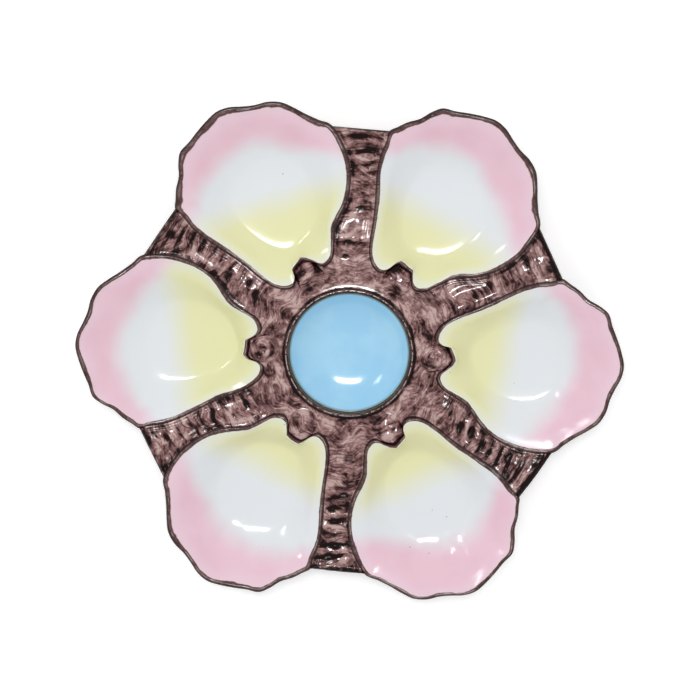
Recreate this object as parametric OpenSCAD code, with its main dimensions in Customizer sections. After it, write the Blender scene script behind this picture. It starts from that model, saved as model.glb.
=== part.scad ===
// Oyster plate with six shell-shaped wells round a sauce well, pressed and luted in earthenware.
// Z runs up from the table, X to the right, and the origin is on the table under the middle.
// A shell is drawn once, in plan, as a closed outline round its own axis. Each shell, each strip
// of bark between two shells, each barnacle and the hub is a solid with upright sides over its own
// patch of the plan, and neighbours share the points of the line where they meet.

/* [Plate] */
// Width across the tips of two opposite shells
plate_w = 230; // [200:1:280]
// Height of the shell tips over the table
plate_h = 26; // [24:0.5:34]
// Thickness of the fired body
wall = 4; // [3:0.1:5]

/* [Foot ring] */
// Outside diameter of the foot ring
foot_d = 124; // [114:1:134]
// Width of the foot ring
foot_w = 5; // [4:0.5:7]
// Height of the foot ring under the shells
foot_h = 4; // [3:0.1:6]
// Small bevel on the edges that the foot ring stands on
foot_bevel = 0.8; // [0.3:0.1:1.5]

/* [Sauce well] */
// Inside diameter of the sauce well
sauce_d = 51; // [40:0.5:60]
// Depth of the sauce well under the crest of its bead
sauce_depth = 11; // [8:0.1:12]
// Width of the bead round the sauce well
bead_w = 2.1; // [1.6:0.1:3]
// Height of the bead over the hub
bead_rise = 1.2; // [0.6:0.1:3]

/* [Hub and bark] */
// Width of the hub, from the bead to the circle where the shells start
hub_w = 8.4; // [7:0.1:14]
// Height of the hub over the table
hub_h = 17; // [15:0.1:19]
// Height of the bark at its outer end
bark_end_h = 19.5; // [18:0.1:21]
// Dip of the bark halfway along
bark_dip = 2; // [0:0.1:4]
// Swell of the bark halfway across
bark_crown = 1; // [0:0.1:2]
// Height of the ridges across the bark
ridge_h = 0.7; // [0.2:0.1:1.2]
// Height of the thin lip along the outer end of the bark
bark_lip = 0.8; // [0:0.1:2]

/* [Shells] */
// Width of the rolled lip round a shell
lip_w = 2.2; // [1.4:0.1:3]
// Height of the lip over the bark
lip_rise = 2; // [1:0.1:3]

/* [Barnacles] */
// Height of a barnacle over the hub
barnacle_h = 3.2; // [1.5:0.1:5]

/* [Hidden] */

$fn = 96;

// The number of shells and the angle from one to the next
shell_count = 6;
pitch = 360 / shell_count;

// Glaze colours
pink_glaze = "#E6C0D0";
blue_glaze = "#9FD3F2";
bark_glaze = "#6E5252";
dark_glaze = "#463234";
bare_clay = "#CDB79C";

// Circles that the plan hangs on
tip_r = plate_w / 2;
sauce_r = sauce_d / 2;
bead_r = sauce_r + bead_w;
shell_in_r = bead_r + hub_w;
foot_r = foot_d / 2;
foot_mid_r = foot_r - foot_w / 2;

// A shell outline in four stretches, run counter-clockwise round a shell that points along X.
// Each point is [share of the way from shell_in_r to tip_r, share of the pitch, height share],
// where the height share is 0 on the bark and 1 at the shell's tip.
far_side_shares = [
  [0.745, 0.327, 0], [0.69, 0.332, 0], [0.62, 0.347, 0], [0.54, 0.353, 0], [0.45, 0.348, 0],
  [0.36, 0.338, 0], [0.27, 0.33, 0], [0.18, 0.327, 0]
];
inner_end_shares = [
  [0.10, 0.315, 0], [0.045, 0.277, 0], [0.012, 0.208, 0], [0.008, 0.143, 0], [0.03, 0.093, 0],
  [0.068, 0.06, 0], [0.085, 0.01, 0], [0.088, -0.057, 0], [0.08, -0.12, 0], [0.052, -0.17, 0],
  [0.03, -0.223, 0], [0.032, -0.287, 0]
];
near_side_shares = [
  [0.07, -0.353, 0], [0.14, -0.38, 0], [0.21, -0.40, 0], [0.27, -0.44, 0], [0.34, -0.487, 0],
  [0.42, -0.51, 0], [0.52, -0.512, 0], [0.63, -0.49, 0]
];
rim_shares = [
  [0.755, -0.437, 0], [0.795, -0.383, 0.15], [0.835, -0.337, 0.35], [0.88, -0.297, 0.55],
  [0.922, -0.257, 0.72], [0.944, -0.21, 0.8], [0.95, -0.163, 0.84], [0.966, -0.123, 0.9],
  [0.992, -0.077, 0.97], [1, -0.033, 1], [0.985, 0.013, 0.97], [0.965, 0.06, 0.92],
  [0.945, 0.107, 0.86], [0.934, 0.153, 0.8], [0.895, 0.187, 0.62], [0.845, 0.22, 0.42],
  [0.81, 0.263, 0.25], [0.775, 0.297, 0.1]
];
// Points cut from each step of the outline, so that it runs in a smooth curve
outline_steps = 2;
// The bark ends on the circle through the corners of the shells
corner_share = 0.75;
bark_end_r = shell_in_r + corner_share * (tip_r - shell_in_r);
// The shells swell from a middle that lies here, as shares of the way out and of the pitch
middle_shares = [0.525, -0.062, 0];

// Side of a barnacle that faces the sauce well: share of the hub's width, share of the pitch
barnacle_shares = [
  [0.92, 0.105], [0.58, 0.087], [0.33, 0.03], [0.25, -0.05], [0.31, -0.133], [0.56, -0.2],
  [0.94, -0.223]
];
// The outline points that a barnacle covers, counted along the inner end
barnacle_first = 4;
barnacle_last = 9;
// A barnacle's rings: share of its width, share of its height
barnacle_ring_shares = [[1, 0.35], [0.8, 0.8], [0.52, 0.96], [0.24, 0.72]];
barnacle_top_share = 0.9;
// Height of the barnacle's turns, as a share of its height, and how many there are
barnacle_turn_share = 0.1;
barnacle_turns = 5;

// Sections of a shell: shares of the way from its middle to its edge
bowl_ring_shares = [0.36, 0.51, 0.66, 0.81];
under_ring_shares = [0.44, 0.6, 0.78, 1];
// A well has a flat floor, a steep wall between these shares of the way out, and a flared rim.
// The wall takes this share of the rise, and below it lies further out by the shift.
wall_start_share = 0.4;
wall_end_share = 0.92;
wall_rise_share = 0.6;
under_shift_share = 0.06;
flare_power = 3;
// The floor lies nearer to the hub than the middle does, by this share of a shell's length, and
// the power says how soon that fades towards the edge
floor_shift_share = 0.12;
shift_power = 3;
// Towards the floor, the edge's bumps and notch melt into an outline averaged over this many
// points to each side, and this power says how soon
calm_reach = 8;
calm_power = 4;
// The lip: where its crest lies, and how far its two edges drop, as shares of lip_w and lip_rise
crest_share = 0.45;
lip_in_drop_share = 0.4;
lip_out_drop_share = 0.8;
// What the tips rise over the corners of the shells
tip_rise = plate_h - bark_end_h - lip_rise;
floor_h = foot_h + wall;
floor_shift = floor_shift_share * (tip_r - shell_in_r);

// The body is flat over the foot ring, this much wider to each side, and blends away past that
foot_margin = 3;
foot_blend = 8;

// Bark: fine rows to an outline step, columns across, rows from ridge to ridge, ridge skew, and
// the rows over which the lip at the outer end and the swell at the inner end fade
bark_rows = 2;
bark_columns = 5;
ridge_rows = 3;
ridge_skew = 24;
bark_lip_rows = 2;
bark_fade_rows = 8;

// Hub: rings from the bead to the shells and their heights as shares of ridge_h
hub_ring_shares = [[1, 0], [0.7, 0.5], [0.35, -0.5], [0, 0.3]];

// Sauce well and bead: points of the half section
sauce_section_shares = [0, 0.3, 0.5, 0.65, 0.78, 0.88, 0.95, 1];
sauce_power = 2.4;
bead_h = hub_h + bead_rise;
bead_round_step = 30;
sauce_floor_h = bead_h - sauce_depth;
sauce_edge_h = bead_h - bead_w;
hub_under_h = hub_h - wall;

// Plain helpers
function ramp(t) = let (c = min(1, max(0, t))) c * c * (3 - 2 * c);
function polar(radius, angle) = [radius * cos(angle), radius * sin(angle)];
function plan(p) = [p[0], p[1]];
function turned(p, a) = [p[0] * cos(a) - p[1] * sin(a), p[0] * sin(a) + p[1] * cos(a), p[2]];
function reversed(list) = [for (i = [len(list) - 1:-1:0]) list[i]];
function between(a, b, t) = a + (b - a) * t;
function joined(lists) = [for (list = lists, item = list) item];

// Smooth curve through b and c, with a before and d after them
function curve(a, b, c, d, t) =
  0.5 * (2 * b + (c - a) * t + (2 * a - 5 * b + 4 * c - d) * t * t + (3 * b - a - 3 * c + d) * t * t * t);
function smooth_loop(p, steps) = let (n = len(p)) [
  for (i = [0:n - 1], s = [0:steps - 1])
    curve(p[(i + n - 1) % n], p[i], p[(i + 1) % n], p[(i + 2) % n], s / steps)
];

// Plan of a shell that points along X: each point is [x, y, height share]
function shell_point(s) =
  let (q = polar(shell_in_r + s[0] * (tip_r - shell_in_r), s[1] * pitch)) [q[0], q[1], s[2]];
shell_shares = joined([far_side_shares, inner_end_shares, near_side_shares, rim_shares]);
outline = smooth_loop([for (s = shell_shares) shell_point(s)], outline_steps);
middle = shell_point(middle_shares);
function average(points) = [for (p = points) 1 / len(points)] * points;
calm_outline = [
  for (k = [0:len(outline) - 1])
    average([for (j = [-calm_reach:calm_reach]) outline[(k + j + len(outline)) % len(outline)]])
];

// Places in the outline where the stretches start
inner_at = len(far_side_shares) * outline_steps;
near_at = inner_at + len(inner_end_shares) * outline_steps;
rim_at = near_at + len(near_side_shares) * outline_steps;
barnacle_from = inner_at + barnacle_first * outline_steps;
barnacle_to = inner_at + barnacle_last * outline_steps;
function stretch(first, last) = [for (i = [first:last]) outline[i]];
far_side = stretch(0, inner_at);
near_side = reversed(stretch(near_at, rim_at));
barnacle_front = [
  for (s = barnacle_shares) let (q = polar(bead_r + s[0] * hub_w, s[1] * pitch)) [q[0], q[1], 0]
];

// Heights: top of the hub and bark, and the underside, at a distance from the plate's axis
function bark_z(r) =
  let (t = min(1, max(0, (r - shell_in_r) / (bark_end_r - shell_in_r))))
    hub_h + (bark_end_h - hub_h) * t * t - bark_dip * sin(180 * t);
function clear_of_foot(r) = ramp((abs(r - foot_mid_r) - foot_w / 2 - foot_margin) / foot_blend);
function under_z(r) = foot_h + (bark_z(r) - wall - foot_h) * clear_of_foot(r);

// Heights on a shell, at a share of the way from its middle to outline point p
function lip_z(p) = bark_z(norm(plan(p))) + lip_rise + p[2] * tip_rise;
function lip_share(p, w) = 1 - w / norm(plan(p) - plan(middle));
function basin(share, shift) =
  wall_rise_share * ramp((share - wall_start_share - shift) / (wall_end_share - wall_start_share))
    + (1 - wall_rise_share) * pow(share, flare_power);
function bowl_z(p, share) =
  floor_h + (lip_z(p) - lip_in_drop_share * lip_rise - floor_h) * basin(share / lip_share(p, lip_w), 0);
function lifted(p, share, z) = let (q = between(middle, p, share)) [q[0], q[1], z];
// The same, drawn towards the hub with the floor
function sunk(p, share, z) = lifted(p, share, z) - [floor_shift * pow(1 - share * share, shift_power), 0, 0];
function shell_under_z(p, share) =
  let (r = norm(plan(sunk(p, share, 0))), edge = bark_z(norm(plan(p))) - wall + p[2] * tip_rise)
    foot_h + (edge - foot_h) * basin(share, under_shift_share) * clear_of_foot(r);
function calmed(share) = [
  for (k = [0:len(outline) - 1]) between(calm_outline[k], outline[k], pow(share, calm_power))
];

// Faces of a grid of closed loops, each from loop j to loop j + 1
function loop_faces(j, next, n) = [
  for (k = [0:n - 1])
    let (a = j * n + k, b = j * n + (k + 1) % n, c = next * n + k, d = next * n + (k + 1) % n)
      each [[a, c, d], [a, d, b]]
];

// Solid from loops that run out along the underside, up the edge and back in over the top
module domed_solid(under_middle, loops, top_middle) {
  n = len(loops[0]);
  m = len(loops);
  faces = concat(
    [for (j = [0:m - 2]) each loop_faces(j, j + 1, n)],
    [for (k = [0:n - 1]) [m * n, k, (k + 1) % n]],
    [for (k = [0:n - 1]) [m * n + 1, (m - 1) * n + (k + 1) % n, (m - 1) * n + k]]
  );
  polyhedron(concat(joined(loops), [under_middle, top_middle]), faces);
}

// Solid from loops that run out along the underside and back in over the top of a ring
module ring_solid(loops) {
  n = len(loops[0]);
  m = len(loops);
  polyhedron(joined(loops), [for (j = [0:m - 1]) each loop_faces(j, (j + 1) % m, n)]);
}

module shell(i) {
  under = [for (s = under_ring_shares) [for (p = calmed(s)) sunk(p, s, shell_under_z(p, s))]];
  edge = [for (p = outline) lifted(p, 1, lip_z(p) - lip_out_drop_share * lip_rise)];
  crest = [for (p = outline) lifted(p, lip_share(p, crest_share * lip_w), lip_z(p))];
  lip_in = [for (p = outline) let (s = lip_share(p, lip_w)) lifted(p, s, bowl_z(p, s))];
  bowl = [for (s = reversed(bowl_ring_shares)) [for (p = calmed(s)) sunk(p, s, bowl_z(p, s))]];
  color(pink_glaze)
    rotate(i * pitch)
      domed_solid(
        sunk(middle, 0, foot_h),
        concat(under, [edge, crest, lip_in], bowl),
        sunk(middle, 0, floor_h)
      );
}

// Strip of bark between shell i and the next: rows run from the plate's edge to the hub
module bark(i) {
  last = (len(far_side) - 1) * bark_rows;
  function side_point(side, row) =
    let (k = min(floor(row / bark_rows), len(side) - 2)) between(side[k], side[k + 1], row / bark_rows - k);
  function plan_point(row, column) =
    between(side_point(far_side, row), turned(side_point(near_side, row), pitch), column / bark_columns);
  function swell(row, column) =
    let (t = column / bark_columns) 4 * t * (1 - t) * ramp((last - row) / bark_fade_rows);
  function ridge(row, column) = ridge_h * cos((row * 360 + column * ridge_skew) / ridge_rows);
  function edge_lip(row) = bark_lip * (1 - ramp(row / bark_lip_rows));
  function relief(row, column) = (bark_crown + ridge(row, column)) * swell(row, column) + edge_lip(row);
  function top_point(row, column) =
    let (q = plan_point(row, column)) [q[0], q[1], bark_z(norm(plan(q))) + relief(row, column)];
  function under_point(row, column) =
    let (q = plan_point(row, column)) [q[0], q[1], under_z(norm(plan(q)))];
  // A row is a closed loop: back along the underside, then out again over the top
  loops = [
    for (row = [0:last])
      concat(
        [for (column = [bark_columns:-1:0]) under_point(row, column)],
        [for (column = [0:bark_columns]) top_point(row, column)]
      )
  ];
  n = len(loops[0]);
  function end_faces(j, flip) = [
    for (k = [0:bark_columns - 1])
      let (a = j * n + k, b = a + 1, c = j * n + n - 1 - k, d = c - 1)
        each (flip ? [[a, b, d], [a, d, c]] : [[a, d, b], [a, c, d]])
  ];
  faces = concat(
    [for (j = [0:last - 1]) each loop_faces(j, j + 1, n)],
    end_faces(0, true),
    end_faces(last, false)
  );
  color(bark_glaze)
    rotate(i * pitch)
      polyhedron(joined(loops), faces);
}

// Lump at the hinge of a shell, coiled like a small snail, that covers part of the hub
module barnacle(i) {
  edge = concat(stretch(barnacle_from, barnacle_to), reversed(barnacle_front));
  centre = average(edge);
  function turn(k, share) = barnacle_turn_share * cos(360 * (barnacle_turns * k / len(edge) + 2 * share));
  rings = [
    for (ring = barnacle_ring_shares) [
      for (k = [0:len(edge) - 1])
        let (q = between(centre, edge[k], ring[0]), grow = ring[0] < 1 ? turn(k, ring[0]) : 0)
          [q[0], q[1], hub_h + barnacle_h * (ring[1] + grow)]
    ]
  ];
  foot = [for (p = edge) [p[0], p[1], under_z(norm(plan(p)))]];
  color(bark_glaze)
    rotate(i * pitch)
      domed_solid(
        [centre[0], centre[1], hub_under_h],
        concat([foot], rings),
        [centre[0], centre[1], hub_h + barnacle_h * barnacle_top_share]
      );
}

// Bark-covered ring between the bead and the shells
module hub() {
  // Edge of one sector: shell, barnacle, shell, then the end of the bark
  front = concat(
    reversed(stretch(barnacle_to, near_at)),
    reversed(barnacle_front),
    reversed(stretch(inner_at, barnacle_from))
  );
  far_end = far_side[len(far_side) - 1];
  near_end = turned(near_side[len(near_side) - 1], pitch);
  bark_end = [for (column = [1:bark_columns - 1]) between(far_end, near_end, column / bark_columns)];
  sector = concat(front, bark_end);
  edge = [for (i = [0:shell_count - 1], p = sector) turned(p, i * pitch)];
  n = len(edge);
  // The bead's round wall touches the hub's flat-sided hole from inside
  hole_r = bead_r / cos(180 / n);
  first_angle = atan2(edge[0][1], edge[0][0]);
  hole = [for (k = [0:n - 1]) let (q = polar(hole_r, first_angle + 360 * k / n)) [q[0], q[1], 0]];
  function loop(share, top, relief) = [
    for (k = [0:n - 1])
      let (q = between(hole[k], edge[k], share), r = norm(plan(q)))
        [q[0], q[1], top ? bark_z(r) + relief * ridge_h : under_z(r)]
  ];
  color(bark_glaze)
    ring_solid(concat(
      [loop(0, false, 0), loop(1, false, 0)],
      [for (ring = hub_ring_shares) loop(ring[0], true, ring[1])]
    ));
}

module sauce_bead() {
  round_r = bead_w / 2;
  crown = [
    for (a = [0:bead_round_step:180])
      [sauce_r + round_r + round_r * cos(a), bead_h - round_r + round_r * sin(a)]
  ];
  color(dark_glaze)
    rotate_extrude()
      polygon(concat([[sauce_r, hub_under_h], [bead_r, hub_under_h]], crown));
}

module sauce_well() {
  function section(low, high, power) = [
    for (s = sauce_section_shares) [s * sauce_r, low + (high - low) * pow(s, power)]
  ];
  color(blue_glaze)
    rotate_extrude()
      polygon(concat(
        section(sauce_floor_h - wall, hub_under_h, sauce_power + 1),
        reversed(section(sauce_floor_h, sauce_edge_h, sauce_power))
      ));
}

module foot_ring() {
  inner_r = foot_r - foot_w;
  color(bare_clay)
    rotate_extrude()
      polygon([
        [inner_r + foot_bevel, 0],
        [foot_r - foot_bevel, 0],
        [foot_r, foot_bevel],
        [foot_r, foot_h],
        [inner_r, foot_h],
        [inner_r, foot_bevel]
      ]);
}

foot_ring();
sauce_well();
sauce_bead();
hub();
for (i = [0:shell_count - 1]) {
  shell(i);
  bark(i);
  barnacle(i);
}
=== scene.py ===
import bpy
import numpy as np
from mathutils import Matrix


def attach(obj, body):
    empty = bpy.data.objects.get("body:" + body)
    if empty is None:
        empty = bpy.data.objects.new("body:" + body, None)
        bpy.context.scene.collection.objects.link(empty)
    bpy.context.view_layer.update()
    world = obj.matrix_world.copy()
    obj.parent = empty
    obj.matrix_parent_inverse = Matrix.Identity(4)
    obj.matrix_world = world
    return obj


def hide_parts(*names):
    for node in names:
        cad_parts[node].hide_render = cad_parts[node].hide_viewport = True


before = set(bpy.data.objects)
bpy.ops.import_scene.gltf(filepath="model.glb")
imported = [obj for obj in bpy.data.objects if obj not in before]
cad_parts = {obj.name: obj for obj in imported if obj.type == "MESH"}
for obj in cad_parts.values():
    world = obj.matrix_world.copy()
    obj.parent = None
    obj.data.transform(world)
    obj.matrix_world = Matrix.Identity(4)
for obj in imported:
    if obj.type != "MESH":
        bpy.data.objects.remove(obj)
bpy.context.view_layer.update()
print("frame loaded:", len(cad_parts), "nodes")

mm = 0.001      # Blender works in metres, the shapes below in millimetres

# The plan of the plate
plate = {
    "shells": 6,
    "pitch": 60,            # degrees from one shell to the next
    "beadInR": 25.5,        # inside of the bead, which is the edge of the sauce well
    "beadOutR": 27.6,
    "shellInR": 36.0,       # the shells start here
    "tipR": 115.0,          # and reach out to here
    "barkEndR": 95.25,      # the bark ends here
    "height": 26.0,
    "wall": 4.0,
    "hubH": 17.0,
    "barkEndH": 19.5,
    "barkDip": 2.0,
    "lipRise": 2.0,
    "footH": 4.0,
    "footMidR": 59.5,
    "footHalfW": 2.5,
    "footMargin": 3.0,      # the underside stays level this far beside the foot
    "footBlend": 8.0,       # and then leaves it over this width
    "pointSteps": 8,        # fine points to each step of an outline
}

# Outline of a shell in four stretches: share of the way out, share of the pitch, share of the tip's rise
outlineShares = {
    "farSide": [
        (.745, .327, 0), (.69, .332, 0), (.62, .347, 0), (.54, .353, 0), (.45, .348, 0), (.36, .338, 0),
        (.27, .33, 0), (.18, .327, 0),
    ],
    "innerEnd": [
        (.10, .315, 0), (.045, .277, 0), (.012, .208, 0), (.008, .143, 0), (.03, .093, 0),
        (.068, .06, 0), (.085, .01, 0), (.088, -.057, 0), (.08, -.12, 0), (.052, -.17, 0),
        (.03, -.223, 0), (.032, -.287, 0),
    ],
    "nearSide": [
        (.07, -.353, 0), (.14, -.38, 0), (.21, -.40, 0), (.27, -.44, 0), (.34, -.487, 0), (.42, -.51, 0),
        (.52, -.512, 0), (.63, -.49, 0),
    ],
    "rim": [
        (.755, -.437, 0), (.795, -.383, .15), (.835, -.337, .35), (.88, -.297, .55), (.922, -.257, .72),
        (.944, -.21, .8), (.95, -.163, .84), (.966, -.123, .9), (.992, -.077, .97), (1, -.033, 1),
        (.985, .013, .97), (.965, .06, .92), (.945, .107, .86), (.934, .153, .8), (.895, .187, .62),
        (.845, .22, .42), (.81, .263, .25), (.775, .297, .1),
    ],
}


def ramp(t):
    # smooth step: 3 t squared minus 2 t cubed, with t kept between 0 and 1
    t = np.clip(t, 0, 1)
    return t * t * (3 - 2 * t)


def bell(x, at, width):
    # bell of Gauss: exp of minus the square of (x - at) / width
    return np.exp(-((x - at) / width)**2)


def waver(u, v, seed):
    # slow unevenness between about -1 and 1: the sum of four sines that run in different directions; their
    # numbers only keep the four apart, and seed gives another pattern
    total = 0
    for k in range(4):
        a = 1.7 * seed + 2.399 * k
        total = total + np.sin((0.8 + 0.33 * k) * (u * np.cos(a) + v * np.sin(a)) + 4.1 * seed + 1.3 * k)
    return total / 2.4


def smoothLoop(p, steps):
    # closed curve through the points: each step is the cubic through four neighbours
    a, b, c, d = (np.roll(p, k, 0)[:, None, :] for k in (1, 0, -1, -2))
    t = (np.arange(steps) / steps)[None, :, None]
    q = 2 * b + (c - a) * t + (2 * a - 5 * b + 4 * c - d) * t**2 + (3 * b - a - 3 * c + d) * t**3
    return 0.5 * q.reshape(-1, p.shape[1])


def smoothLine(p, steps):
    # the same between two ends, which are repeated
    q = smoothLoop(np.vstack([p[:1], p, p[-1:]]), steps)
    return np.vstack([q[steps:steps * len(p)], p[-1:]])


def polar(shares):
    # share of the way out and share of the pitch to x and y
    s = np.array(shares, float)
    r = plate["shellInR"] + s[:, 0] * (plate["tipR"] - plate["shellInR"])
    a = np.radians(s[:, 1] * plate["pitch"])
    return np.stack([r * np.cos(a), r * np.sin(a), s[:, 2]], 1)


def turned(p, degrees):
    # turned about the plate's axis: x cos a - y sin a, x sin a + y cos a
    a = np.radians(degrees)
    q = np.array(p, float)
    q[..., 0] = p[..., 0] * np.cos(a) - p[..., 1] * np.sin(a)
    q[..., 1] = p[..., 0] * np.sin(a) + p[..., 1] * np.cos(a)
    return q


steps = plate["pointSteps"]
allShares = [s for stretch in outlineShares.values() for s in stretch]
outline = smoothLoop(polar(allShares), steps)
innerAt = len(outlineShares["farSide"]) * steps
nearAt = innerAt + len(outlineShares["innerEnd"]) * steps
rimAt = nearAt + len(outlineShares["nearSide"]) * steps
middle = polar([(.525, -.062, 0)])[0]       # of a shell
farLine = outline[:innerAt + 1]
nearLine = turned(outline[nearAt:rimAt + 1], plate["pitch"])[::-1]      # runs inwards, like farLine


def barkZ(r):
    # level of hub and bark: even on the hub, then half a sine of dip and a rise as the square to the edge
    t = np.clip((r - plate["shellInR"]) / (plate["barkEndR"] - plate["shellInR"]), 0, 1)
    rise = (plate["barkEndH"] - plate["hubH"]) * t * t
    return plate["hubH"] + rise - plate["barkDip"] * np.sin(np.pi * t)


def clearOfFoot(r):
    # 0 over the foot ring and 1 away from it, with a smooth step between
    gap = np.abs(r - plate["footMidR"]) - plate["footHalfW"] - plate["footMargin"]
    return ramp(gap / plate["footBlend"])


def underZ(r):
    # underside of hub and bark: one wall below the top, down to the foot ring's height over the ring
    return plate["footH"] + (barkZ(r) - plate["wall"] - plate["footH"]) * clearOfFoot(r)


# The bark between two shells; lists of six go rib by rib. Knots are (mm out, share across, radius, depth).
bark = {
    "from": (40, 10),       # mm out at which the relief starts, and the width in which it grows
    "crown": 1.7,
    "crownPower": 0.8,
    "roll": 0.45,           # long waves from the hub out
    "rollMm": 27.0,
    "ridge": [0.08, 0.26, 0.24, 0.28, 0.22, 0.28],      # crosswise ridges
    "ridgePitch": 5.0,
    "ridgeBend": 2.5,
    "calmAt": [60, 54, 50, 54, 48, 57],                 # how far out the ridges are smoothed away
    "calmW": [13.0, 6.5, 5.0, 6.5, 6.0, 6.5],
    "fold": [0.30, 0.12, 0.18, 0.12, 0.16, 0.14],       # folds that run along the rib
    "foldMm": 5.5,
    "fineRidge": 0.02,
    "fineMm": 1.45,
    "sink": [0.0, 1.5, 0.4, 0.2, 0.0, 0.3],             # how far the rib sinks past the hub
    "sinkFrom": (46, 12),
    "sinkTo": (90, 25),
    "uneven": 0.32,
    "unevenMm": 6,
    "unevenFrom": (30, 8),
    "fillet": 0.9,          # the bark turns up where it meets a shell's lip
    "filletW": 1.1,
    "border": 0.30,         # a low cord of clay runs beside the lip
    "borderMm": 2.3,
    "borderW": 0.6,
    "groove": [0.35, 0.95, 1.0, 0.7, 1.0, 1.15],        # how dark the grooves between the ridges are
    "grooveDark": 1.15,
    "crestPale": 0.28,
    "fineDark": 0.10,
    "pitDark": 1.7,         # for each mm that a knot is sunk
    "seamDark": 0.20,       # glaze gathers between bark and lip
    "seamMm": 0.9,
    "hubPale": 0.04,
    "darkest": 1.1,
    "palest": -0.4,
    "endLip": 0.8,
    "endLipMm": 1.2,
    "endLipW": 0.9,
    "endRound": 0.9,
    "endRoundMm": 1.1,
    "endShade": [1.0, 0.35, 0.5, 0.6, 0.8, 1.0],         # painted shade: darker along the end
    "endShadeMm": 0.8,
    "endGlint": [0.0, 1.0, 0.25, 0.3, 0.1, 0.0],         # painted highlight: a pale line along the end lip, in places
    "glintPale": 1.5,
    "glintW": 0.4,
    "underRise": 0.8,       # the underside's corner is taken off at the end
    "underRiseMm": 1.4,
    "underDark": 0.15,
    "columns": 64,
    "underColumns": 9,
    "rowSplit": 4,
    "knots": [
        [(58, .35, 1.3, .4), (66, .6, 1.5, .4), (75, .4, 1.1, .4), (84, .7, 1.6, .5), (88, .35, 2.6, -.8)],
        [(47.5, .62, 1.2, .7), (41.5, .66, 1.2, .6), (62, .5, 1.3, .4), (79, .35, 1.4, .5),
         (86, .3, 1.7, .6)],
        [(47, .45, 1.5, .6), (52, .3, 1.3, .6), (60, .6, 1.3, .4), (77, .5, 1.5, .6), (89, .5, 1.7, .6)],
        [(49, .4, 1.5, .6), (56, .6, 1.2, .5), (63, .3, 1.4, .5), (72, .6, 1.4, .5), (86, .4, 1.6, .5)],
        [(52, .5, 1.2, .4), (61, .65, 1.4, .5), (68, .35, 1.5, .7), (78, .5, 3.0, -1.5),
         (83.5, .55, 1.9, .9), (73, .45, 1.6, .7), (88, .35, 1.6, .5)],
        [(50, .55, 1.2, .5), (56.5, .45, 1.8, .9), (61.5, .62, 1.8, .9), (59, .55, 2.0, -1.0),
         (69, .5, 1.4, .6), (65, .5, 2.2, -1.0), (80, .6, 1.7, .6), (75, .55, 2.2, -.8)],
    ],
    "knotShape": (0.8, 1.3),        # along and across the rib, for a radius of 1
}

farR = np.hypot(farLine[:, 0], farLine[:, 1])[::-1]
farA = np.degrees(np.arctan2(farLine[:, 1], farLine[:, 0]))[::-1]
nearR = np.hypot(nearLine[:, 0], nearLine[:, 1])[::-1]
nearA = np.degrees(np.arctan2(nearLine[:, 1], nearLine[:, 0]))[::-1]


def grown(r, key):
    # smooth step from 0 to 1 with the distance out: where it starts and how wide it is
    start, width = bark[key]
    return ramp((r - start) / width)


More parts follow.
